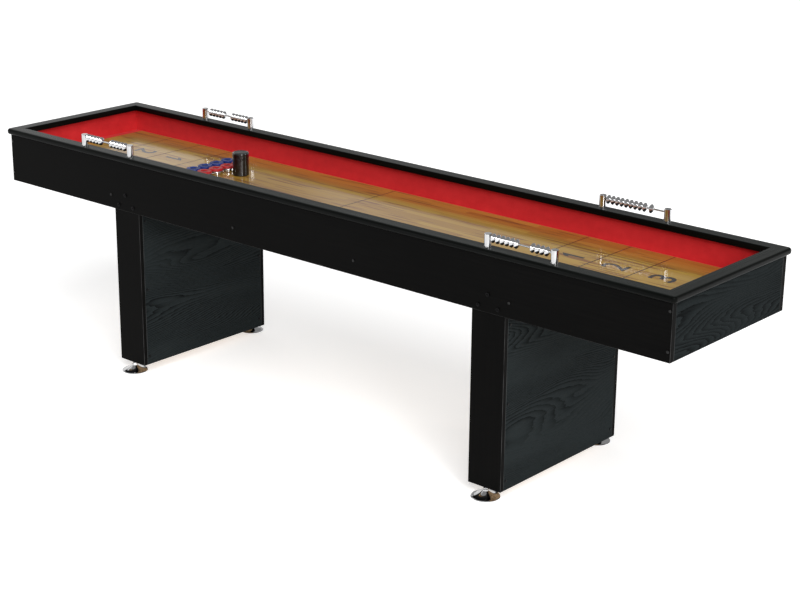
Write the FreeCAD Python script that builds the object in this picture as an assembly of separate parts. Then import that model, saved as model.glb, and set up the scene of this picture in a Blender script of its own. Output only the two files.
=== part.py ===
import FreeCAD, Part
import math
import os
from FreeCAD import Vector

# A nine-foot recreational shuffleboard table: a shallow cabinet on two box pedestals,
# a narrow playfield between lined gutters, four bead scorers, eight pucks and a powder can.
# Millimetres.  X runs along the table, Y across it, Z up.
# The origin is on the floor, under the centre of the table.

os.makedirs("parts", exist_ok=True)

# ---- Overall size ----
LENGTH = 2743.0              # over the top rails, nominal nine feet
WIDTH = 598.0                # over the top rails
HEIGHT = 749.0               # floor to the top of the rails

# ---- Top rails ----
RAIL_WIDTH = 47.5
RAIL_THICK = 20.0
RAIL_OVERHANG = 11.0         # how far a rail stands out past the panel under it
RAIL_CORNER_R = 12.0
RAIL_NOSE_R = 8.0
RAIL_INNER_R = 3.0

# ---- Cabinet panels ----
PANEL_THICK = 18.0
PANEL_HEIGHT = 165.5
PANEL_TOP = HEIGHT - RAIL_THICK
PANEL_BOTTOM = PANEL_TOP - PANEL_HEIGHT
PANEL_X = LENGTH / 2 - RAIL_OVERHANG - 0.5    # outer face of the end panels
PANEL_Y = WIDTH / 2 - RAIL_OVERHANG + 0.5     # outer face of the long aprons
WALL_X = PANEL_X - PANEL_THICK
WALL_Y = PANEL_Y - PANEL_THICK
LINER = 1.0

# ---- Playfield and gutters ----
PLAY_HALF_X = 1228.0
PLAY_HALF_Y = 193.0
PLAY_TOP = HEIGHT - 69.5
SURFACE_THICK = 1.5
BOTTOM_THICK = 12.0
GUTTER_FLOOR = 653.0
BOARD_TOP = GUTTER_FLOOR - LINER
BOARD_BOTTOM = BOARD_TOP - BOTTOM_THICK
PLAY_BREAK = 1.0             # broken edge of the playing surface

# ---- Cross beams and battens ----
BEAM_XS = (-835.0, -255.0, 255.0, 835.0)
BEAM_WIDTH = 30.0
BEAM_HEIGHT = 64.0
BATTEN = 20.0

# ---- Pedestals ----
LEG_X = 762.0                # centre of each pedestal
LEG_THICK = 119.0
LEG_Y = 285.5                # outer face of the narrow end panels
LEG_PANEL = 15.0
LEG_GAP = 31.5               # clearance between pedestal and floor
BLOCK_DEPTH = 45.0
BLOCK_BOTTOM = 440.0
BLOCK_TOP = 636.0
BASE_BOARD_THICK = 16.0
BASE_BOARD_RAISE = 8.0

# ---- Fasteners ----
LEG_BOLTS = ((-35.0, 580.5), (35.0, 580.5), (-2.0, 617.5))
BOLT_R = 4.0
BOLT_LENGTH = 50.0
BOLT_HEAD_R = 6.0
BOLT_HEAD = 3.0
SCREW_R = 2.0
SCREW_LENGTH = 34.0
SCREW_HEAD_R = 4.2
SCREW_HEAD = 2.0
BEAM_SCREW_Z = 608.6
CORNER_SCREW_ZS = (593.6, 704.6)
CORNER_SCREW_X = PANEL_X - 8.0
LEG_SCREW_ZS = (61.6, 297.6, 535.6)
LEG_SCREW_Y = 261.5

# ---- Levelers ----
LEVELER_Y = 277.0
BELL_R = 43.5
BELL_HEIGHT = 24.0
HUB_R = 9.0
NUT_ACROSS = 13.0
NUT_HEIGHT = 4.0
STEM_R = 4.0
STEM_TOP = 61.5
STEM_SEAT = 8.0
THREAD_GAP = 0.05
INSERT_R = 5.0
INSERT_LENGTH = 22.0
STEM_WELL = 12.0             # free hole above the insert

# ---- Scorers ----
SCORER_X = 860.0             # centre of each scorer
SCORER_Y = WIDTH / 2 - RAIL_WIDTH / 2
POST_PITCH = 228.0
POST_R = 11.0
POST_HEIGHT = 40.0
POST_STUD = 14.0
ROD_R = 2.5
ROD_HEIGHT = 29.0
ROD_SEAT = 8.0
BEAD_R = 13.5
BEAD_PITCH = 16.0
BEAD_THICK = 15.7
BEAD_NECK_R = 5.5
BEAD_RIM = 1.2
BEAD_BORE_GAP = 0.05
BEAD_END_GAP = 0.4

# name: (side in X, side in Y, beads at -X, their distance off the post,
#        beads at +X, their distance off the post)
SCORERS = {
    "front_left": (-1, -1, 5, 0.0, 5, 5.0),
    "back_left": (-1, 1, 5, 12.0, 5, 3.0),
    "front_right": (1, -1, 6, 0.0, 4, 6.0),
    "back_right": (1, 1, 9, 1.5, 1, 37.0),
}

# ---- Pucks ----
PUCK_R = 25.7
PUCK_BODY = 11.5
CAP_R = 24.6
CAP_TOP = 19.0
SPIGOT_R = 6.0
SPIGOT_DEPTH = 5.0
PUCK_PITCH = 52.5
BLUE_ROW_X = -635.5
RED_ROW_X = -583.0
FIRST_PUCK_Y = -99.0
PUCKS_IN_ROW = 4

# ---- Powder can ----
CAN_X = -509.0
CAN_Y = -4.0
CAN_R = 27.0
CAN_SHOULDER = 60.0
CAN_WALL = 1.6
NECK_R = 24.4
NECK_TOP = 72.0
LID_R = 27.5
LID_TOP = 78.0
LID_INNER_R = 25.0
LID_GAP = 0.3

UP = Vector(0, 0, 1)


# ---- Shape helpers ----
def block(x0, x1, y0, y1, z0, z1):
    """A box between two corners, given in any order along each axis."""
    low = Vector(min(x0, x1), min(y0, y1), min(z0, z1))
    return Part.makeBox(abs(x1 - x0), abs(y1 - y0), abs(z1 - z0), low)


def rod(radius, length, base, direction):
    return Part.makeCylinder(radius, length, base, direction)


def turned(points, place):
    """A solid of revolution about Z from (radius, height) points, moved to place."""
    outline = Part.makePolygon([Vector(r, 0, z) for r, z in points + points[:1]])
    solid = Part.Face(outline).revolve(Vector(0, 0, 0), UP, 360)
    solid.translate(place)
    return solid


def together(solids):
    return Part.makeCompound(solids)


def cut_all(shape, tools):
    return shape.cut(together(tools)) if tools else shape


def save(name, shape):
    shape.exportStep(f"parts/{name}.step")


def corners(x, y):
    """The four (x, y) places that mirror one another about the table's centre."""
    return [(sx * x, sy * y) for sx in (-1, 1) for sy in (-1, 1)]


# ---- Fasteners ----
def headed(radius, length, head_r, head_height, seat, inward):
    """A fastener whose head stands on the face at seat and whose shank runs inward."""
    shank = rod(radius, length, seat, inward)
    head = rod(head_r, head_height, seat, inward * -1)
    rim = [e for e in head.Edges if abs(e.CenterOfMass.sub(seat).Length - head_height) < 0.01]
    head = head.makeFillet(head_height * 0.45, rim)
    return head.fuse(shank).removeSplitter()


def leg_bolt(x, side, z):
    seat = Vector(x, side * PANEL_Y, z)
    bolt = headed(BOLT_R, BOLT_LENGTH, BOLT_HEAD_R, BOLT_HEAD, seat, Vector(0, -side, 0))
    socket = hexagon(5.0, BOLT_HEAD * 0.6)
    socket.rotate(Vector(0, 0, 0), Vector(1, 0, 0), -90 * side)
    socket.translate(seat + Vector(0, side * BOLT_HEAD * 0.4, 0))
    return bolt.cut(socket)


def hexagon(across, height):
    """A hexagonal prism standing on the origin."""
    radius = across / math.sqrt(3)
    points = [Vector(radius * math.cos(math.radians(60 * i)),
                     radius * math.sin(math.radians(60 * i)), 0) for i in range(7)]
    return Part.Face(Part.makePolygon(points)).extrude(Vector(0, 0, height))


def leg_bolt_places():
    return [(sx * LEG_X + dx, sy, z) for sx in (-1, 1) for sy in (-1, 1) for dx, z in LEG_BOLTS]


def apron_screw_places():
    beams = [(x, side, BEAM_SCREW_Z) for x in BEAM_XS for side in (-1, 1)]
    ends = [(sx * CORNER_SCREW_X, side, z)
            for sx in (-1, 1) for side in (-1, 1) for z in CORNER_SCREW_ZS]
    return beams + ends


def leg_bolt_holes():
    return [rod(BOLT_R, BOLT_LENGTH, Vector(x, side * PANEL_Y, z), Vector(0, -side, 0))
            for x, side, z in leg_bolt_places()]


def apron_screw_holes():
    return [rod(SCREW_R, SCREW_LENGTH, Vector(x, side * PANEL_Y, z), Vector(0, -side, 0))
            for x, side, z in apron_screw_places()]


def leg_screw_places():
    """Screws through the wide pedestal panels: (face x, inward direction, y, z)."""
    return [(sx * LEG_X + face * LEG_THICK / 2, -face, y, z)
            for sx in (-1, 1) for face in (-1, 1)
            for y in (-LEG_SCREW_Y, LEG_SCREW_Y) for z in LEG_SCREW_ZS]


def leg_screw_holes():
    return [rod(SCREW_R, SCREW_LENGTH, Vector(x, y, z), Vector(inward, 0, 0))
            for x, inward, y, z in leg_screw_places()]


def make_fasteners():
    save("leg_bolts", together([leg_bolt(*place) for place in leg_bolt_places()]))
    save("apron_screws", together([
        headed(SCREW_R, SCREW_LENGTH, SCREW_HEAD_R, SCREW_HEAD,
               Vector(x, side * PANEL_Y, z), Vector(0, -side, 0))
        for x, side, z in apron_screw_places()]))
    save("leg_panel_screws", together([
        headed(SCREW_R, SCREW_LENGTH, SCREW_HEAD_R, SCREW_HEAD,
               Vector(x, y, z), Vector(inward, 0, 0))
        for x, inward, y, z in leg_screw_places()]))


# ---- Cabinet ----
def make_aprons():
    holes = leg_bolt_holes() + apron_screw_holes()
    for name, side in (("front_apron", -1), ("back_apron", 1)):
        panel = block(-PANEL_X, PANEL_X, side * WALL_Y, side * PANEL_Y, PANEL_BOTTOM, PANEL_TOP)
        save(name, cut_all(panel, holes))
    for name, side in (("left_end_panel", -1), ("right_end_panel", 1)):
        panel = block(side * WALL_X, side * PANEL_X, -WALL_Y, WALL_Y, PANEL_BOTTOM, PANEL_TOP)
        save(name, cut_all(panel, apron_screw_holes()))


def rail_ring():
    """The four rails as one ring, with its nosing, before it is mitred."""
    x, y = LENGTH / 2, WIDTH / 2
    outer = block(-x, x, -y, y, PANEL_TOP, HEIGHT)
    uprights = [e for e in outer.Edges if abs(e.Vertexes[0].Z - e.Vertexes[-1].Z) > 1]
    outer = outer.makeFillet(RAIL_CORNER_R, uprights)
    hole = block(-x + RAIL_WIDTH, x - RAIL_WIDTH, -y + RAIL_WIDTH, y - RAIL_WIDTH,
                 PANEL_TOP - 1, HEIGHT + 1)
    outside = [e for e in outer.Edges if e.BoundBox.ZLength < 0.01]
    ring = outer.makeFillet(RAIL_NOSE_R, outside).cut(hole)
    inside = [e for e in ring.Edges if is_inner_edge(e)]
    return ring.makeFillet(RAIL_INNER_R, inside)


def is_inner_edge(edge):
    """Whether an edge is one of the level edges around the rails' inner opening."""
    box = edge.BoundBox
    level = box.ZLength < 0.01
    on_end = box.XLength < 0.01 and abs(abs(box.XMin) - (LENGTH / 2 - RAIL_WIDTH)) < 0.01
    on_side = box.YLength < 0.01 and abs(abs(box.YMin) - (WIDTH / 2 - RAIL_WIDTH)) < 0.01
    return level and (on_end or on_side)


def mitre(points):
    """A tall prism that keeps one rail out of the ring, cut off at 45 degrees."""
    outline = [Vector(x, y, PANEL_TOP - 5) for x, y in points + points[:1]]
    return Part.Face(Part.makePolygon(outline)).extrude(Vector(0, 0, RAIL_THICK + 10))


def make_rails():
    x, y = LENGTH / 2, WIDTH / 2
    inner = x - y
    stud_holes = [rod(ROD_R, POST_STUD, Vector(px, py, HEIGHT), UP * -1)
                  for px, py in post_places()]
    ring = cut_all(rail_ring(), stud_holes)
    save("front_rail", ring.common(mitre([(-x, -y), (x, -y), (inner, 0), (-inner, 0)])))
    save("back_rail", ring.common(mitre([(-x, y), (x, y), (inner, 0), (-inner, 0)])))
    save("left_rail", ring.common(mitre([(-x, -y), (-x, y), (-inner, 0)])))
    save("right_rail", ring.common(mitre([(x, -y), (x, y), (inner, 0)])))


def make_floor():
    save("bottom_board", block(-WALL_X, WALL_X, -WALL_Y, WALL_Y, BOARD_BOTTOM, BOARD_TOP))
    play_hole = block(-PLAY_HALF_X, PLAY_HALF_X, -PLAY_HALF_Y, PLAY_HALF_Y,
                      BOARD_TOP - 1, GUTTER_FLOOR + 1)
    sheet = block(-WALL_X + LINER, WALL_X - LINER, -WALL_Y + LINER, WALL_Y - LINER,
                  BOARD_TOP, GUTTER_FLOOR)
    save("gutter_liner", sheet.cut(play_hole))
    sides = [block(-WALL_X, WALL_X, side * (WALL_Y - LINER), side * WALL_Y, BOARD_TOP, PANEL_TOP)
             for side in (-1, 1)]
    ends = [block(side * (WALL_X - LINER), side * WALL_X, -WALL_Y + LINER, WALL_Y - LINER,
                  BOARD_TOP, PANEL_TOP)
            for side in (-1, 1)]
    save("wall_liners", together(sides + ends))


def make_playfield():
    board_top = PLAY_TOP - SURFACE_THICK
    save("playfield_board", block(-PLAY_HALF_X, PLAY_HALF_X, -PLAY_HALF_Y, PLAY_HALF_Y,
                                  BOARD_TOP, board_top))
    surface = block(-PLAY_HALF_X, PLAY_HALF_X, -PLAY_HALF_Y, PLAY_HALF_Y, board_top, PLAY_TOP)
    rim = [e for e in surface.Edges if e.BoundBox.ZMin > PLAY_TOP - 0.01]
    save("playfield_surface", surface.makeFillet(PLAY_BREAK, rim))


def cleat_spans():
    """Stretches of side batten between the cross beams and the pedestal blocks."""
    half = BEAM_WIDTH / 2
    block_half = LEG_THICK / 2 - LEG_PANEL
    stops = [-WALL_X + BATTEN, BEAM_XS[0] - half, -LEG_X + block_half, BEAM_XS[1] - half,
             BEAM_XS[1] + half, BEAM_XS[2] - half, BEAM_XS[2] + half, LEG_X - block_half,
             BEAM_XS[3] + half, WALL_X - BATTEN]
    return list(zip(stops[::2], stops[1::2]))


def make_framing():
    save("cross_beams", together([
        block(x - BEAM_WIDTH / 2, x + BEAM_WIDTH / 2, -WALL_Y, WALL_Y,
              BOARD_BOTTOM - BEAM_HEIGHT, BOARD_BOTTOM).cut(together(apron_screw_holes()))
        for x in BEAM_XS]))
    low = BOARD_BOTTOM - BATTEN
    battens = [block(x0, x1, side * (WALL_Y - BATTEN), side * WALL_Y, low, BOARD_BOTTOM)
               for x0, x1 in cleat_spans() for side in (-1, 1)]
    battens += [block(side * (WALL_X - BATTEN), side * WALL_X, -WALL_Y, WALL_Y, low, BOARD_BOTTOM)
                for side in (-1, 1)]
    battens += [block(sx * (WALL_X - BATTEN), sx * WALL_X, sy * (WALL_Y - BATTEN), sy * WALL_Y,
                      PANEL_BOTTOM, low)
                for sx in (-1, 1) for sy in (-1, 1)]
    save("cabinet_battens", together(battens))


# ---- Pedestals ----
def insert_holes():
    wells = [rod(STEM_R + 0.5, INSERT_LENGTH + STEM_WELL, Vector(x, y, LEG_GAP), UP)
             for x, y in corners(LEG_X, LEVELER_Y)]
    seats = [rod(INSERT_R, INSERT_LENGTH, Vector(x, y, LEG_GAP), UP)
             for x, y in corners(LEG_X, LEVELER_Y)]
    return wells + seats


def make_pedestal(name, side):
    middle = side * LEG_X
    half = LEG_THICK / 2
    inner_y = LEG_Y - LEG_PANEL
    for kind, face in (("outer", side), ("inner", -side)):
        panel = block(middle + face * half, middle + face * (half - LEG_PANEL),
                      -inner_y, inner_y, LEG_GAP, PANEL_BOTTOM)
        save(f"{name}_leg_{kind}_panel", cut_all(panel, leg_screw_holes()))
    ends = [cut_all(block(middle - half, middle + half, sy * inner_y, sy * LEG_Y,
                          LEG_GAP, PANEL_BOTTOM), insert_holes()) for sy in (-1, 1)]
    save(f"{name}_leg_end_panels", together(ends))


def inside_pedestal(sx, y0, y1, z0, z1):
    """A block that fills a pedestal's inner width."""
    half = LEG_THICK / 2 - LEG_PANEL
    return block(sx * LEG_X - half, sx * LEG_X + half, y0, y1, z0, z1)


def make_pedestal_insides():
    inner_y = LEG_Y - LEG_PANEL
    base = LEG_GAP + BASE_BOARD_RAISE
    base_top = base + BASE_BOARD_THICK
    save("leg_base_boards", together([
        inside_pedestal(sx, -inner_y, inner_y, base, base_top) for sx in (-1, 1)]))
    holes = leg_bolt_holes() + leg_screw_holes()
    save("leg_mounting_blocks", together([
        cut_all(inside_pedestal(sx, sy * (inner_y - BLOCK_DEPTH), sy * inner_y,
                                BLOCK_BOTTOM, BLOCK_TOP), holes)
        for sx in (-1, 1) for sy in (-1, 1)]))
    half = LEG_THICK / 2 - LEG_PANEL
    save("leg_battens", together([
        cut_all(block(sx * LEG_X + face * half, sx * LEG_X + face * (half - BATTEN),
                      sy * inner_y, sy * (inner_y - BATTEN), base_top, BLOCK_BOTTOM),
                leg_screw_holes())
        for sx in (-1, 1) for face in (-1, 1) for sy in (-1, 1)]))


# ---- Levelers ----
def leveler(x, y):
    """A bell foot and the threaded stem that is pressed into its hub."""
    place = Vector(x, y, 0)
    rim_in = BELL_R - 1.5
    slope = Part.Arc(Vector(rim_in, 0, 4.2), Vector(25.0, 0, 8.6), Vector(HUB_R, 0, 20.0))
    path = [Vector(0, 0, 0), Vector(rim_in, 0, 0), Vector(BELL_R, 0, 1.2),
            Vector(BELL_R, 0, 2.8), Vector(rim_in, 0, 4.2)]
    top = [Vector(HUB_R, 0, 20.0), Vector(HUB_R, 0, BELL_HEIGHT), Vector(0, 0, BELL_HEIGHT),
           Vector(0, 0, 0)]
    outline = Part.Wire([*Part.makePolygon(path).Edges, slope.toShape(),
                         *Part.makePolygon(top).Edges])
    bell = Part.Face(outline).revolve(Vector(0, 0, 0), UP, 360)
    bell = bell.cut(rod(STEM_R, BELL_HEIGHT, Vector(0, 0, STEM_SEAT), UP))
    stem = rod(STEM_R, STEM_TOP - STEM_SEAT, Vector(0, 0, STEM_SEAT), UP)
    nut = hexagon(NUT_ACROSS, NUT_HEIGHT)
    nut.translate(Vector(0, 0, BELL_HEIGHT))
    foot = together([bell, stem.fuse(nut).removeSplitter()])
    foot.translate(place)
    return foot


def make_levelers():
    names = {-1: "left", 1: "right"}
    sides = {-1: "front", 1: "back"}
    for x, y in corners(LEG_X, LEVELER_Y):
        name = f"leveler_{sides[int(math.copysign(1, y))]}_{names[int(math.copysign(1, x))]}"
        save(name, leveler(x, y))
    save("leveler_inserts", together([
        rod(INSERT_R, INSERT_LENGTH, Vector(x, y, LEG_GAP), UP).cut(
            rod(STEM_R + THREAD_GAP, INSERT_LENGTH, Vector(x, y, LEG_GAP), UP))
        for x, y in corners(LEG_X, LEVELER_Y)]))


# ---- Scorers ----
def post_places():
    return [(sx * SCORER_X + end * POST_PITCH / 2, sy * SCORER_Y)
            for sx, sy, *_ in SCORERS.values() for end in (-1, 1)]


def post(x, y, inward):
    """A turned post with a collar at its foot and a stud down into the rail."""
    profile = [(0, -POST_STUD), (ROD_R, -POST_STUD), (ROD_R, 0), (POST_R, 0), (POST_R, 3.6),
               (POST_R - 0.9, 4.0), (POST_R - 0.9, 4.8), (POST_R, 5.2),
               (POST_R, POST_HEIGHT - 1.4), (POST_R - 1.4, POST_HEIGHT), (0, POST_HEIGHT)]
    seat = rod(ROD_R, ROD_SEAT, Vector(inward * (POST_R - ROD_SEAT), 0, ROD_HEIGHT),
               Vector(inward, 0, 0))
    solid = turned(profile, Vector(0, 0, 0)).cut(seat)
    solid.translate(Vector(x, y, HEIGHT))
    return solid


def bead(x, y):
    """A double-cone bead, bored to run on the scorer's rod."""
    half = BEAD_THICK / 2
    bore = ROD_R + BEAD_BORE_GAP
    profile = [(bore, -half), (BEAD_NECK_R, -half), (BEAD_R, -BEAD_RIM / 2),
               (BEAD_R, BEAD_RIM / 2), (BEAD_NECK_R, half), (bore, half)]
    solid = turned(profile, Vector(0, 0, 0))
    solid.rotate(Vector(0, 0, 0), Vector(0, 1, 0), 90)
    solid.translate(Vector(x, y, HEIGHT + ROD_HEIGHT))
    return solid


def make_scorers():
    posts = []
    rods = []
    reach = POST_PITCH / 2 - POST_R
    for name, (sx, sy, left, left_off, right, right_off) in SCORERS.items():
        x, y = sx * SCORER_X, sy * SCORER_Y
        posts += [post(x - POST_PITCH / 2, y, 1), post(x + POST_PITCH / 2, y, -1)]
        rods.append(rod(ROD_R, 2 * (reach + ROD_SEAT),
                        Vector(x - reach - ROD_SEAT, y, HEIGHT + ROD_HEIGHT), Vector(1, 0, 0)))
        first = x - reach + BEAD_END_GAP + left_off + BEAD_PITCH / 2
        last = x + reach - BEAD_END_GAP - right_off - BEAD_PITCH / 2
        save(f"beads_{name}_low", together([bead(first + i * BEAD_PITCH, y) for i in range(left)]))
        save(f"beads_{name}_high", together([bead(last - i * BEAD_PITCH, y) for i in range(right)]))
    save("scorer_posts", together(posts))
    save("scorer_rods", together(rods))


# ---- Pucks ----
def puck_weight(place):
    profile = [(0, 0), (PUCK_R - 1.6, 0), (PUCK_R - 0.4, 0.8), (PUCK_R, 2.4), (PUCK_R, 8.6),
               (PUCK_R - 0.6, 10.4), (PUCK_R - 1.9, PUCK_BODY), (SPIGOT_R, PUCK_BODY),
               (SPIGOT_R, PUCK_BODY - SPIGOT_DEPTH), (0, PUCK_BODY - SPIGOT_DEPTH)]
    return turned(profile, place)


def puck_cap(place):
    """A moulded cap with a dished middle and a spigot down into the weight."""
    profile = [(0, PUCK_BODY - SPIGOT_DEPTH), (SPIGOT_R, PUCK_BODY - SPIGOT_DEPTH),
               (SPIGOT_R, PUCK_BODY), (CAP_R - 1.0, PUCK_BODY), (CAP_R, PUCK_BODY + 1.2),
               (CAP_R, CAP_TOP - 3.2), (CAP_R - 0.9, CAP_TOP - 1.1), (CAP_R - 3.0, CAP_TOP),
               (13.0, CAP_TOP), (11.8, CAP_TOP - 0.8), (9.5, CAP_TOP - 2.8), (0, CAP_TOP - 3.4)]
    return turned(profile, place)


def make_pucks():
    for colour, x in (("blue", BLUE_ROW_X), ("red", RED_ROW_X)):
        for i in range(PUCKS_IN_ROW):
            place = Vector(x, FIRST_PUCK_Y + i * PUCK_PITCH, PLAY_TOP)
            save(f"puck_{colour}_{i + 1}_weight", puck_weight(place))
            save(f"puck_{colour}_{i + 1}_cap", puck_cap(place))


# ---- Powder can ----
def make_can():
    place = Vector(CAN_X, CAN_Y, PLAY_TOP)
    bore = NECK_R - CAN_WALL
    shoulder_in = CAN_SHOULDER - CAN_WALL
    body = [(0, 0), (CAN_R - 2.5, 0), (CAN_R - 0.8, 0.8), (CAN_R, 2.5), (CAN_R, CAN_SHOULDER - 1.2),
            (CAN_R - 1.2, CAN_SHOULDER), (NECK_R, CAN_SHOULDER), (NECK_R, NECK_TOP),
            (bore, NECK_TOP), (bore, shoulder_in), (CAN_R - CAN_WALL, shoulder_in - 2.4),
            (CAN_R - CAN_WALL, 3.4), (CAN_R - 3.4, CAN_WALL), (0, CAN_WALL)]
    save("powder_can", turned(body, place))
    foot = CAN_SHOULDER + LID_GAP
    lid = [(LID_INNER_R, foot), (LID_R, foot), (LID_R, LID_TOP - 5.0), (LID_R - 0.8, LID_TOP - 2.4),
           (LID_R - 2.4, LID_TOP - 0.8), (LID_R - 4.6, LID_TOP), (LID_R - 6.4, LID_TOP),
           (LID_R - 7.2, LID_TOP - 0.8), (0, LID_TOP - 0.8), (0, LID_TOP - 3.0),
           (LID_INNER_R - 3.0, LID_TOP - 3.0), (LID_INNER_R, LID_TOP - 5.5)]
    save("powder_can_lid", turned(lid, place))


make_aprons()
make_rails()
make_floor()
make_playfield()
make_framing()
for pedestal, side_x in (("left", -1), ("right", 1)):
    make_pedestal(pedestal, side_x)
make_pedestal_insides()
make_fasteners()
make_levelers()
make_scorers()
make_pucks()
make_can()
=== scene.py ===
import math
import bmesh
import bpy
from mathutils import Matrix, Vector


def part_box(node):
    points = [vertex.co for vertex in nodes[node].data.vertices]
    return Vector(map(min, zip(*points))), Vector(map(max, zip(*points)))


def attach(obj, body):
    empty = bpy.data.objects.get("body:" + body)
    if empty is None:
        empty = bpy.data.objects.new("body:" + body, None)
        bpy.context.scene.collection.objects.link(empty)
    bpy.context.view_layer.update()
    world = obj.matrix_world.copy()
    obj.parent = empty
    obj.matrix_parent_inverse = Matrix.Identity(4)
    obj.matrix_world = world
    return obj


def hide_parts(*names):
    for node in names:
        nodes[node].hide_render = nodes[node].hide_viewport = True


# The looks of a nine-foot shuffleboard table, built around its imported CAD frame.
# Metres, in the CAD frame: X along the table, Y across it, Z up.

# ---- Boards ----
ARRIS = 0.0014               # how far the edges of a board are eased
PRINT_ARRIS = 0.001

# ---- Playfield ----
STAVE_WIDTH = 0.0235
STAVE_LENGTH = 0.62
PRINT_DEPTH = 0.00012        # the wood print lies this far under its CAD top
MARK_LIFT = 0.00006          # the marks stand this far off the print
MARK_HEIGHT = 0.00004
MARK_ARRIS = 0.00001
LINE_WIDTH = 0.0036
LINE_SETBACK = 0.0012        # keeps a line's ends off the eased edge of the print
LINES_AT = (-1.060, -0.910, -0.760, 0.0, 0.760, 0.910, 1.060)
NUMERALS_AT = {"1": 0.835, "2": 0.985, "3": 1.144}       # from the middle, at either end
NUMERAL_HEIGHT = 0.080
NUMERAL_WIDTHS = {"1": 0.022, "2": 0.048, "3": 0.048}
CAP_DISH = (0.6955, 0.6975)  # heights between which a puck cap turns from dish to rim

# ---- Stage ----
FLOOR_REACH = 60.0
KEY_FROM = (2.8, -2.3, 3.3)
WINDOW_SIZE = (1.1, 1.5)
WINDOWS = (("window_front", (5.3, -2.9, 2.7), 84.0), ("window_back", (5.1, 3.2, 2.7), 34.0))
WINDOW_AIM = (-0.3, 0.0, 0.7)
ROOM_WALLS = ((0.0, 0.95), (0.30, 0.88), (0.365, 0.84), (0.400, 0.22), (0.435, 0.22),
              (0.50, 0.62), (0.60, 0.52), (0.68, 0.34), (0.78, 0.24), (1.0, 0.30))

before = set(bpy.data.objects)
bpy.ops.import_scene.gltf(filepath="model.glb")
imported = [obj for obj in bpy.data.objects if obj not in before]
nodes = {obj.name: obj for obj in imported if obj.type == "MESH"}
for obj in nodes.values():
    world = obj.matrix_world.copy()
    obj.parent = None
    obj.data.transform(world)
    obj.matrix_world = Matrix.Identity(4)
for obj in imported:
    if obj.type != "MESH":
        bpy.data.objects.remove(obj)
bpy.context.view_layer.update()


# ---- Shader nodes ----
class Graph:
    """A node tree, with short ways to add nodes and link them."""

    def __init__(self, tree):
        self.tree = tree

    def put(self, socket, value):
        if isinstance(value, bpy.types.NodeSocket):
            self.tree.links.new(value, socket)
        else:
            socket.default_value = value

    def add(self, kind, inputs, **settings):
        node = self.tree.nodes.new("ShaderNode" + kind)
        for key, value in settings.items():
            setattr(node, key, value)
        for key, value in inputs.items():
            self.put(node.inputs[key], value)
        return node

    def split(self, vector):
        return self.add("SeparateXYZ", {0: vector}).outputs

    def ramp(self, value, stops, interpolation="LINEAR"):
        node = self.add("ValToRGB", {"Fac": value})
        node.color_ramp.interpolation = interpolation
        elements = node.color_ramp.elements
        while len(elements) < len(stops):
            elements.new(0.5)
        for element, (at, colour) in zip(elements, stops):
            element.position = at
            element.color = (*colour, 1.0)
        return node.outputs["Color"]

    def span(self, value, low, high, start=0.3, end=0.7):
        """low to high, clamped, as the value goes from start to end."""
        inputs = {"Value": value, "From Min": start, "From Max": end,
                  "To Min": low, "To Max": high}
        return self.add("MapRange", inputs).outputs["Result"]

    def math(self, operation, a, b=0.0):
        return self.add("Math", {0: a, 1: b}, operation=operation).outputs[0]

    def weighed(self, *parts):
        """The sum of the parts, each given with its weight."""
        scaled = [self.math("MULTIPLY", value, weight) for value, weight in parts]
        total = scaled[0]
        for value in scaled[1:]:
            total = self.math("ADD", total, value)
        return total

    def blend(self, factor, a, b):
        return self.add("Mix", {0: factor, 6: a, 7: b}, data_type="RGBA").outputs[2]


class Net(Graph):
    """A principled material on object coordinates."""

    def __init__(self, name, sockets):
        self.material = bpy.data.materials.new(name)
        self.material.use_nodes = True
        super().__init__(self.material.node_tree)
        self.shader = self.tree.nodes["Principled BSDF"]
        for key, value in sockets.items():
            self.put(self.shader.inputs[key], value)
        self.coords = self.add("TexCoord", {}).outputs["Object"]

    def place(self, scale, offset=(0, 0, 0)):
        inputs = {"Vector": self.coords, "Scale": scale, "Location": offset}
        return self.add("Mapping", inputs).outputs[0]

    def noise(self, scale, detail=4.0, roughness=0.5, distortion=0.0, offset=(0, 0, 0)):
        inputs = {"Vector": self.place(scale, offset), "Scale": 1.0, "Detail": detail,
                  "Roughness": roughness, "Distortion": distortion}
        return self.add("TexNoise", inputs).outputs["Fac"]

    def axis(self, letter):
        return self.split(self.coords)[letter]

    def facing(self):
        """The surface's direction along X, Y and Z."""
        return self.split(self.add("TexCoord", {}).outputs["Normal"])

    def edges(self):
        """1 on eased arrises and rounded noses, where the surface turns between two axes."""
        turned = self.facing()
        sizes = [self.math("ABSOLUTE", turned[letter]) for letter in "XYZ"]
        flat = self.math("MAXIMUM", sizes[0], self.math("MAXIMUM", sizes[1], sizes[2]))
        return self.span(flat, 1.0, 0.0, 0.76, 0.98)

    def edge_wear_and_highlight(self, colour, light, low, high, patch):
        """The colour with its edges painted lighter in patches: part rubbed wear, part a painted
        highlight where the eased edges catch the light.
        """
        # Edge lightening: part wear, part painted highlight.
        wear_and_glint_patches = self.span(self.noise((patch, patch, patch), 3.0, 0.6), low, high, 0.40, 0.60)
        return self.blend(self.math("MULTIPLY", self.edges(), wear_and_glint_patches), colour, (*light, 1.0))

    def bump(self, height, distance, under=None):
        inputs = {"Height": height, "Distance": distance}
        if under is not None:
            inputs["Normal"] = under
        return self.add("Bump", inputs).outputs["Normal"]

    def finish(self, colour, roughness, normal=None):
        self.put(self.shader.inputs["Base Color"], colour)
        self.put(self.shader.inputs["Roughness"], roughness)
        if normal is not None:
            self.put(self.shader.inputs["Normal"], normal)
        return self.material


def stretched(axis, along, across):
    scale = [across] * 3
    scale[axis] = along
    return tuple(scale)


def grey(value, warm=0.0):
    return (value * (1 + warm), value, value * (1 - warm))


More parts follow.
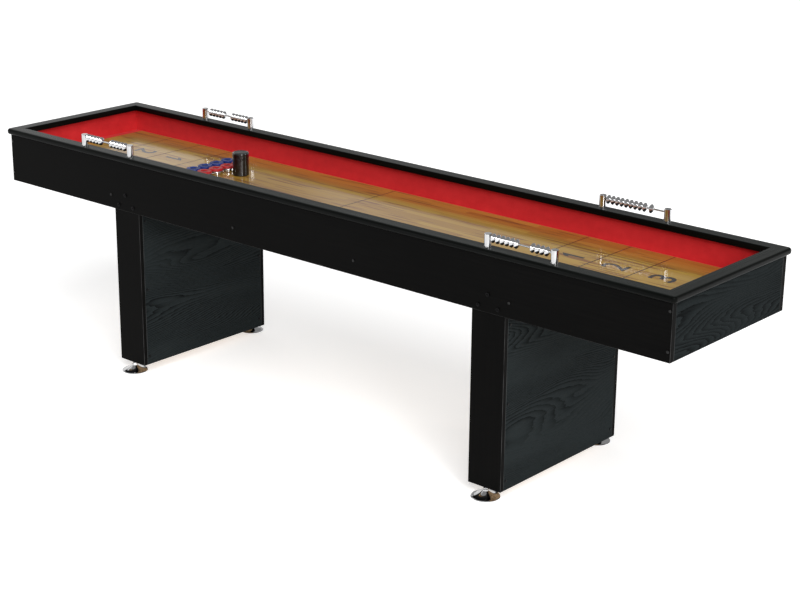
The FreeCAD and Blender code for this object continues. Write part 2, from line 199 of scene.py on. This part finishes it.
# ---- Materials ----
def black_satin(name, axis):
    """Near-black satin laminate with a faint grain along one axis."""
    net = Net(name, {"Specular IOR Level": 0.03})
    grain = net.noise(stretched(axis, 5.0, 240.0), 5.0, 0.6)
    cloud = net.noise((3.0, 3.0, 5.0), 3.0)
    pores = net.noise(stretched(axis, 60.0, 1500.0), 2.0)
    tone = net.weighed((grain, 0.65), (cloud, 0.35))
    colour = net.ramp(tone, [(0.34, grey(0.0015, 0.04)), (0.52, grey(0.0024, 0.04)),
                             (0.70, grey(0.0040, 0.04))])
    # Edges painted light grey: part wear, part a painted highlight on the eased arrises.
    colour = net.edge_wear_and_highlight(colour, grey(0.085), 0.25, 1.0, 9.0)
    normal = net.bump(pores, 0.00003, net.bump(grain, 0.00005))
    return net.finish(colour, net.span(tone, 0.42, 0.58), normal)


def rail_black(name, axis):
    """Charcoal satin rail with fine lengthwise grain lines, and a painted sheen: lighter where
    it faces up, standing in for the room's reflection on the top.
    """
    net = Net(name, {"Specular IOR Level": 0.05})
    grain = net.noise(stretched(axis, 3.5, 330.0), 6.0, 0.62)
    streak = net.noise(stretched(axis, 1.4, 90.0), 3.0, 0.5, 0.4, (3.1, 1.7, 0.4))
    tone = net.weighed((grain, 0.6), (streak, 0.4))
    colour = net.ramp(tone, [(0.32, (0.0010, 0.0013, 0.0012)), (0.50, (0.0022, 0.0027, 0.0024)),
                             (0.68, (0.0060, 0.0068, 0.0063))])
    # Painted sheen: the up-facing top is painted a lighter grey-green in place of the room's
    # reflection.
    painted_sheen = net.ramp(tone, [(0.32, (0.0120, 0.0138, 0.0129)), (0.50, (0.0210, 0.0236, 0.0222)),
                            (0.68, (0.0360, 0.0392, 0.0374))])
    top = net.span(net.facing()["Z"], 0.0, 1.0, 0.80, 0.98)
    colour = net.blend(top, colour, painted_sheen)
    return net.finish(colour, net.span(tone, 0.36, 0.24), net.bump(grain, 0.00009))


def black_oak(name, along, across, offset, light):
    """Black oak-grain laminate: long growth lines that arch in places, and short open pores."""
    net = Net(name, {"Specular IOR Level": 0.02})
    low = [1.0, 1.0, 1.0]
    low[along] = 0.9
    low[across] = 4.4
    field = net.noise(tuple(low), 1.5, 0.4, 0.15, offset)
    wobble = net.noise(stretched(along, 10.0, 120.0), 4.0, 0.55)
    rings = net.weighed((field, 66.0), (wobble, 1.0), (net.axis("XYZ"[across]), 118.0))
    early = net.math("POWER", net.math("FRACT", rings), 1.8)
    pores = net.noise(stretched(along, 55.0, 1500.0), 2.0, 0.5)
    patches = net.noise(stretched(along, 1.2, 6.0), 2.0, 0.5, 0.0, offset)
    band = net.span(patches, 0.25, 1.0, 0.38, 0.56)
    fleck = net.span(pores, 0.0, 1.0, 0.52, 0.62)
    dark = net.math("MULTIPLY", early, net.span(pores, 0.6, 1.0, 0.35, 0.6))
    dark = net.math("MULTIPLY", dark, band)
    tone = net.math("MAXIMUM", dark, net.math("MULTIPLY", fleck, 0.35))
    colour = net.ramp(tone, [(0.0, light), (0.45, [0.55 * value for value in light]),
                             (0.90, [0.10 * value for value in light])])
    # Edges painted light grey: part wear, part a painted highlight on the eased arrises.
    colour = net.edge_wear_and_highlight(colour, (0.085, 0.088, 0.090), 0.25, 1.0, 9.0)
    height = net.math("SUBTRACT", 1.0, tone)
    return net.finish(colour, net.span(tone, 0.58, 0.78, 0.0, 1.0), net.bump(height, 0.00025))


def red_liner(name):
    """Red flocked vinyl: a fine nap over slow tonal clouds."""
    net = Net(name, {"Specular IOR Level": 0.18, "Sheen Weight": 0.08, "Sheen Roughness": 0.5})
    cloud = net.noise((2.2, 6.0, 14.0), 4.0, 0.55)
    nap = net.noise((1400.0, 1400.0, 1400.0), 2.0, 0.6)
    blotch = net.noise((36.0, 36.0, 36.0), 3.0, 0.5, 0.2)
    tone = net.weighed((cloud, 0.5), (blotch, 0.3), (nap, 0.2))
    colour = net.ramp(tone, [(0.32, (0.55, 0.016, 0.020)), (0.50, (0.64, 0.022, 0.026)),
                             (0.68, (0.72, 0.030, 0.034))])
    return net.finish(colour, net.span(nap, 0.62, 0.82), net.bump(nap, 0.00012))


GLOSS_COAT = {"Specular IOR Level": 0.25, "Coat Weight": 0.75, "Coat Roughness": 0.09,
              "Coat IOR": 1.5}


def playfield_wood(name):
    """A gloss-coated maple print of narrow staves, with short dark mineral streaks."""
    net = Net(name, GLOSS_COAT)
    x, y = net.axis("X"), net.axis("Y")
    row = net.math("MULTIPLY", y, 1 / STAVE_WIDTH)
    stave = net.math("FLOOR", row)
    shift = net.add("TexWhiteNoise", {"W": stave}, noise_dimensions="1D").outputs["Value"]
    run = net.weighed((x, 1 / STAVE_LENGTH), (shift, 7.0))
    cell = net.add("CombineXYZ", {"X": net.math("FLOOR", run), "Y": stave}).outputs[0]
    tone_of = net.add("TexWhiteNoise", {"Vector": cell}, noise_dimensions="3D").outputs["Value"]
    grain = net.noise((5.5, 240.0, 1.0), 5.0, 0.6, 0.15)
    slow = net.noise((1.3, 14.0, 1.0), 3.0, 0.5, 0.3, (5.0, 2.0, 0.0))
    tone = net.weighed((tone_of, 0.34), (grain, 0.42), (slow, 0.24))
    heart = net.ramp(tone, [(0.22, (0.350, 0.175, 0.022)), (0.45, (0.460, 0.258, 0.034)),
                            (0.72, (0.530, 0.330, 0.054))])
    edge = net.ramp(tone, [(0.22, (0.360, 0.118, 0.018)), (0.45, (0.490, 0.176, 0.027)),
                           (0.72, (0.560, 0.235, 0.040))])
    side = net.span(net.math("ABSOLUTE", y), 0.0, 1.0, 0.085, 0.125)
    colour = net.blend(side, heart, edge)
    mineral = net.noise((5.0, 92.0, 1.0), 2.0, 0.45, 0.1, (1.3, 7.7, 0.0))
    streak = net.span(mineral, 0.0, 0.80, 0.580, 0.645)
    colour = net.blend(streak, colour, (0.210, 0.074, 0.020, 1.0))
    hair = net.span(net.noise((2.6, 420.0, 1.0), 2.0, 0.5), 0.0, 0.35, 0.60, 0.70)
    colour = net.blend(hair, colour, (0.190, 0.080, 0.020, 1.0))
    seam = net.math("ABSOLUTE", net.math("SUBTRACT", net.math("FRACT", row), 0.5))
    joint = net.span(seam, 0.0, 0.16, 0.485, 0.498)
    colour = net.blend(joint, colour, (0.12, 0.055, 0.018, 1.0))
    return net.finish(colour, net.span(grain, 0.30, 0.45), net.bump(grain, 0.000006))


def printed_ink(name):
    """Charcoal ink under the same gloss coat as the wood around it."""
    net = Net(name, GLOSS_COAT)
    grain = net.noise((9.0, 260.0, 1.0), 4.0, 0.6)
    colour = net.ramp(grain, [(0.30, (0.010, 0.009, 0.011)), (0.70, (0.026, 0.022, 0.022))])
    return net.finish(colour, net.span(grain, 0.30, 0.42))


def chrome(name):
    """Polished chrome with faint handling haze."""
    net = Net(name, {"Metallic": 1.0})
    haze = net.noise((60.0, 60.0, 60.0), 4.0, 0.6)
    fine = net.noise((900.0, 900.0, 900.0), 2.0, 0.5)
    colour = net.ramp(haze, [(0.3, (0.56, 0.56, 0.57)), (0.7, (0.67, 0.67, 0.67))])
    return net.finish(colour, net.span(haze, 0.045, 0.11), net.bump(fine, 0.000002))


def plastic(net, dark, light):
    """Colour and scuffs of moulded plastic: a faint flow pattern, and marks from handling."""
    flow = net.noise((45.0, 45.0, 30.0), 3.0, 0.5, 0.8)
    scuff = net.noise((700.0, 160.0, 300.0), 3.0, 0.6)
    return net.ramp(flow, [(0.3, dark), (0.7, light)]), scuff


def puck_cap(name, dish, dark, light):
    """A moulded cap whose dished middle is a deeper tone."""
    net = Net(name, {"Specular IOR Level": 0.30, "Coat Weight": 0.05, "Coat Roughness": 0.08})
    colour, scuff = plastic(net, dark, light)
    inside = net.math("MULTIPLY", net.span(net.axis("Z"), 1.0, 0.0, *CAP_DISH),
                      net.span(net.facing()["Z"], 0.0, 1.0, 0.5, 0.9))
    colour = net.blend(inside, colour, (*dish, 1.0))
    # Rims painted toward the light tone: part wear, part a painted highlight.
    colour = net.edge_wear_and_highlight(colour, light, 0.2, 0.8, 160.0)
    return net.finish(colour, net.span(scuff, 0.30, 0.48), net.bump(scuff, 0.000012))


def moulded(name, dark, light, coat):
    """Gloss moulded plastic, paler along its edges: part a painted highlight on the rims, part
    wear.
    """
    net = Net(name, {"Specular IOR Level": 0.10, "Coat Weight": coat, "Coat Roughness": 0.03})
    colour, scuff = plastic(net, dark, light)
    # Rims painted paler: a painted highlight on the lid rim, with some wear.
    colour = net.edge_wear_and_highlight(colour, (0.060, 0.060, 0.062), 0.2, 0.8, 120.0)
    return net.finish(colour, net.span(scuff, 0.24, 0.42), net.bump(scuff, 0.000012))


def brushed(name, dark, light, rough):
    """A plain metal fastener finish with turning marks and dull patches."""
    net = Net(name, {"Metallic": 1.0})
    haze = net.noise((220.0, 220.0, 220.0), 4.0, 0.6)
    marks = net.noise((2400.0, 300.0, 2400.0), 2.0, 0.5)
    colour = net.ramp(haze, [(0.3, dark), (0.7, light)])
    return net.finish(colour, net.span(haze, rough, rough + 0.18), net.bump(marks, 0.00001))


def softwood(name, axis):
    """Plain planed softwood: growth lines along the stick, matt."""
    net = Net(name, {"Specular IOR Level": 0.2})
    rings = net.noise(stretched(axis, 2.0, 110.0), 4.0, 0.55, 0.5)
    fibre = net.noise(stretched(axis, 40.0, 1200.0), 3.0, 0.5)
    tone = net.weighed((rings, 0.75), (fibre, 0.25))
    colour = net.ramp(tone, [(0.32, (0.36, 0.205, 0.085)), (0.50, (0.55, 0.365, 0.185)),
                             (0.68, (0.66, 0.480, 0.280))])
    return net.finish(colour, net.span(tone, 0.80, 0.60), net.bump(tone, 0.0002))


def particle_board(name):
    """Raw particle board: pressed chips of several browns."""
    net = Net(name, {"Specular IOR Level": 0.15})
    inputs = {"Vector": net.place((260.0, 150.0, 260.0)), "Scale": 1.0, "Randomness": 1.0}
    chips = net.add("TexVoronoi", inputs).outputs["Color"]
    chip = net.add("SeparateColor", {0: chips}).outputs[0]
    dust = net.noise((900.0, 900.0, 900.0), 3.0, 0.6)
    tone = net.weighed((chip, 0.6), (dust, 0.4))
    colour = net.ramp(tone, [(0.2, (0.22, 0.135, 0.070)), (0.5, (0.40, 0.270, 0.150)),
                             (0.85, (0.55, 0.410, 0.250))])
    return net.finish(colour, net.span(tone, 0.90, 0.72), net.bump(tone, 0.0002))


SATIN = {axis: black_satin(f"black_satin_{'xyz'[axis]}", axis) for axis in (0, 2)}
RAIL = {axis: rail_black(f"rail_black_{'xy'[axis]}", axis) for axis in (0, 1)}
# The end panels take a darker copy of the leg laminate: painted shade that offsets the window
# light falling on the ends.
OAK_END_SHADED = black_oak("black_oak_end_shaded", 1, 2, (0.0, 0.35, 0.2), (0.0120, 0.0156, 0.0164))
OAK_LEG = black_oak("black_oak_leg", 1, 2, (4.0, 1.1, 2.6), (0.0178, 0.0226, 0.0238))
LINER = red_liner("red_liner_flock")
PLAY = playfield_wood("playfield_print_gloss")
INK = printed_ink("playfield_ink")
CHROME = chrome("chrome_polished")
STEEL = brushed("steel_blackened", grey(0.020), grey(0.050), 0.42)
BLACK_STEEL = brushed("black_oxide", grey(0.006), (0.016, 0.016, 0.017), 0.36)
BRASS = brushed("brass_plain", (0.52, 0.34, 0.12), (0.70, 0.50, 0.22), 0.30)
BLUE = puck_cap("cap_blue", (0.002, 0.004, 0.040), (0.006, 0.018, 0.130), (0.014, 0.040, 0.230))
RED = puck_cap("cap_red", (0.160, 0.004, 0.006), (0.360, 0.009, 0.012), (0.500, 0.018, 0.022))
CAN = moulded("can_black_gloss", grey(0.002), grey(0.005), 0.9)
SOFTWOOD = {axis: softwood(f"softwood_{'xyz'[axis]}", axis) for axis in (0, 1, 2)}
CHIPBOARD = particle_board("particle_board")

# The carried-over CAD nodes by the start of their names.
CARRIED = {
    "front_rail": RAIL[0], "back_rail": RAIL[0], "left_rail": RAIL[1], "right_rail": RAIL[1],
    "wall_liners": LINER, "gutter_liner": LINER,
    "beads_": CHROME, "scorer_": CHROME, "leveler_front": CHROME, "leveler_back": CHROME,
    "powder_can": CAN,
    "playfield_board": CHIPBOARD, "bottom_board": CHIPBOARD, "leg_base_boards": CHIPBOARD,
    "cross_beams": SOFTWOOD[1], "cabinet_battens": SOFTWOOD[0],
    "leg_mounting_blocks": SOFTWOOD[2], "leg_battens": SOFTWOOD[2],
    "leveler_inserts": BRASS, "apron_screws": STEEL,
    "leg_bolts": BLACK_STEEL, "leg_panel_screws": BLACK_STEEL,
}
PUCK_PARTS = {"_weight": {"blue": CHROME, "red": CHROME}, "_cap": {"blue": BLUE, "red": RED}}


def material_of(node):
    if node.startswith("puck_"):
        colour = node.split("_")[1]
        return next(made[colour] for end, made in PUCK_PARTS.items() if node.endswith(end))
    return next((made for start, made in CARRIED.items() if node.startswith(start)), None)


for node in nodes:
    material = material_of(node)
    if material is not None:
        for slot in nodes[node].material_slots:
            slot.material = material


# ---- Mesh helpers ----
def new_object(name, mesh, material):
    mesh.materials.append(material)
    made = bpy.data.objects.new(name, mesh)
    bpy.context.scene.collection.objects.link(made)
    return made


def board_mesh(name, boxes, radius):
    """Boards with eased arrises, as one mesh. boxes holds (low, high) corners."""
    whole = bmesh.new()
    for low, high in boxes:
        made = bmesh.ops.create_cube(whole, size=1.0)["verts"]
        for vert in made:
            for i in range(3):
                vert.co[i] = low[i] if vert.co[i] < 0 else high[i]
        edges = list({edge for vert in made for edge in vert.link_edges})
        bmesh.ops.bevel(whole, geom=edges, offset=radius, segments=3, profile=0.5,
                        affect="EDGES")
    for face in whole.faces:
        face.smooth = True
    mesh = bpy.data.meshes.new(name)
    whole.to_mesh(mesh)
    whole.free()
    return mesh


def board(name, node, material, boxes, radius=ARRIS):
    """Boards that take the place of a CAD node."""
    made = new_object(name, board_mesh(name, boxes, radius), material)
    normals = made.modifiers.new("even_normals", "WEIGHTED_NORMAL")
    normals.weight = 100
    normals.keep_sharp = True
    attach(made, "table")
    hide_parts(node)


# ---- Cabinet and pedestal panels ----
for node in ("front_apron", "back_apron"):
    board(node + "_board", node, SATIN[0], [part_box(node)])
for node in ("left_end_panel", "right_end_panel"):
    board(node + "_board", node, OAK_END_SHADED, [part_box(node)])
for side in ("left", "right"):
    for kind in ("outer", "inner"):
        node = f"{side}_leg_{kind}_panel"
        board(node + "_board", node, OAK_LEG, [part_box(node)])
    # The two end panels are one node, with one board past each edge of the outer panel.
    node = f"{side}_leg_end_panels"
    low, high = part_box(node)
    outer_low, outer_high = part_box(f"{side}_leg_outer_panel")
    pair = [(low, Vector((high.x, outer_low.y, high.z))),
            (Vector((low.x, outer_high.y, low.z)), high)]
    board(node + "_boards", node, SATIN[2], pair)


# ---- Playfield and its marks ----
low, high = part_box("playfield_surface")
PRINT = (low, high - Vector((0.0, 0.0, PRINT_DEPTH)))
board("playfield_surface_board", "playfield_surface", PLAY, [PRINT],
      PRINT_ARRIS)


def mark(name, mesh):
    made = new_object(name, mesh, INK)
    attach(made, "table")


def mark_line(name, x):
    low, high = PRINT
    base = high.z + MARK_LIFT
    box = (Vector((x - LINE_WIDTH / 2, low.y + LINE_SETBACK, base)),
           Vector((x + LINE_WIDTH / 2, high.y - LINE_SETBACK, base + MARK_HEIGHT)))
    mark(name, board_mesh(name, [box], MARK_ARRIS))


def digit_outline(text):
    """A digit as a flat mesh of any size. mark_numeral scales it."""
    if text == "1":
        mesh = bpy.data.meshes.new("digit")
        points = [(0.0, 1.45), (0.45, 1.70), (1.25, 2.0), (1.25, 0.0), (0.62, 0.0), (0.62, 1.38),
                  (0.35, 1.20), (0.0, 1.08)]
        mesh.from_pydata([(px, py, 0) for px, py in points], [],
                         [(0, 7, 6, 1), (1, 6, 5), (1, 5, 4, 3, 2)])
        return mesh
    curve = bpy.data.curves.new("digit", "FONT")
    curve.body = text
    curve.offset = 0.012
    curve.resolution_u = 8
    drawn = bpy.data.objects.new("digit", curve)
    bpy.context.scene.collection.objects.link(drawn)
    bpy.context.view_layer.update()
    mesh = bpy.data.meshes.new_from_object(drawn)
    bpy.data.objects.remove(drawn)
    return mesh


def mark_numeral(name, text, x, facing):
    """A numeral that reads upright for a player at the end that facing points to."""
    mesh = digit_outline(text)
    across = [v.co.x for v in mesh.vertices]
    tall = [v.co.y for v in mesh.vertices]
    wide = NUMERAL_WIDTHS[text]
    top = PRINT[1].z + MARK_LIFT + MARK_HEIGHT
    for vert in mesh.vertices:
        right = ((vert.co.x - min(across)) / (max(across) - min(across)) - 0.5) * wide
        up = ((vert.co.y - min(tall)) / (max(tall) - min(tall)) - 0.5) * NUMERAL_HEIGHT
        vert.co = Vector((x - facing * up, facing * right, top))
    mesh.name = name
    mark(name, mesh)


for index, x in enumerate(LINES_AT):
    mark_line(f"mark_line_{index + 1}", x)
for facing, end in ((1, "right"), (-1, "left")):
    for text, x in NUMERALS_AT.items():
        mark_numeral(f"mark_{end}_{text}", text, facing * x, facing)


# ---- Stage ----
def pale_floor():
    net = Net("stage_floor", {"Specular IOR Level": 0.1, "Emission Strength": 0.50,
                              "Emission Color": (1.0, 1.0, 1.0, 1.0)})
    cloud = net.noise((0.6, 0.6, 0.6), 3.0)
    colour = net.ramp(cloud, [(0.3, grey(0.90)), (0.7, grey(0.93))])
    material = net.finish(colour, net.span(cloud, 0.75, 0.85))
    mesh = bpy.data.meshes.new("stage_floor")
    corners = [(-1, -1), (1, -1), (1, 1), (-1, 1)]
    mesh.from_pydata([(x * FLOOR_REACH, y * FLOOR_REACH, 0) for x, y in corners], [],
                     [(0, 1, 2, 3)])
    new_object("stage_floor", mesh, material)


def room():
    """A room that is pale towards -X and dimmer elsewhere, with a white skyline."""
    world = bpy.data.worlds.new("studio")
    world.use_nodes = True
    bpy.context.scene.world = world
    graph = Graph(world.node_tree)
    background = graph.tree.nodes["Background"]
    background.inputs["Color"].default_value = (1.0, 1.0, 1.0, 1.0)
    towards = graph.split(graph.add("TexCoord", {}).outputs["Generated"])
    sweep = graph.span(towards["X"], 0.0, 1.0, -0.90, -0.40)
    walls = graph.ramp(sweep, [(at, grey(value)) for at, value in ROOM_WALLS], "EASE")
    skyline = graph.span(towards["Z"], 1.0, 0.0, 0.07, 0.16)
    graph.put(background.inputs["Strength"], graph.math("MAXIMUM", walls, skyline))


def aimed(data, place, aim):
    """A light that stays out of the camera's direct sight."""
    made = bpy.data.objects.new(data.name, data)
    made.location = place
    made.rotation_euler = (Vector(aim) - Vector(place)).to_track_quat("-Z", "Y").to_euler()
    made.visible_camera = False
    bpy.context.scene.collection.objects.link(made)


def lights():
    """A wide soft key, and two tall windows on the right."""
    key = bpy.data.lights.new("soft_key", "SUN")
    key.energy = 1.7
    key.angle = 0.7
    aimed(key, KEY_FROM, (0.0, 0.0, 0.0))
    for name, place, power in WINDOWS:
        panel = bpy.data.lights.new(name, "AREA")
        panel.shape = "RECTANGLE"
        panel.size, panel.size_y = WINDOW_SIZE
        panel.energy = power
        aimed(panel, place, WINDOW_AIM)


def camera(place, yaw, pitch, roll, lens):
    """A camera that looks along +Y at yaw 0, turned to -X by yaw and down by pitch."""
    forward = Vector((-math.sin(yaw) * math.cos(pitch), math.cos(yaw) * math.cos(pitch),
                      -math.sin(pitch)))
    level = Vector((math.cos(yaw), math.sin(yaw), 0.0))
    above = level.cross(forward)
    right = level * math.cos(roll) + above * math.sin(roll)
    up = above * math.cos(roll) - level * math.sin(roll)
    data = bpy.data.cameras.new("camera")
    data.sensor_width = 36.0
    data.lens = lens
    data.clip_start = 0.1
    data.clip_end = 200.0
    made = bpy.data.objects.new("camera", data)
    turned = Matrix((right, up, -forward)).transposed().to_4x4()
    made.matrix_world = Matrix.Translation(place) @ turned
    bpy.context.scene.collection.objects.link(made)
    bpy.context.scene.camera = made


pale_floor()
room()
lights()
camera(place=(3.6822, -4.0425, 2.1955), yaw=0.7126, pitch=0.3243, roll=0.0097, lens=81.17)
bpy.context.scene.view_settings.view_transform = "Standard"
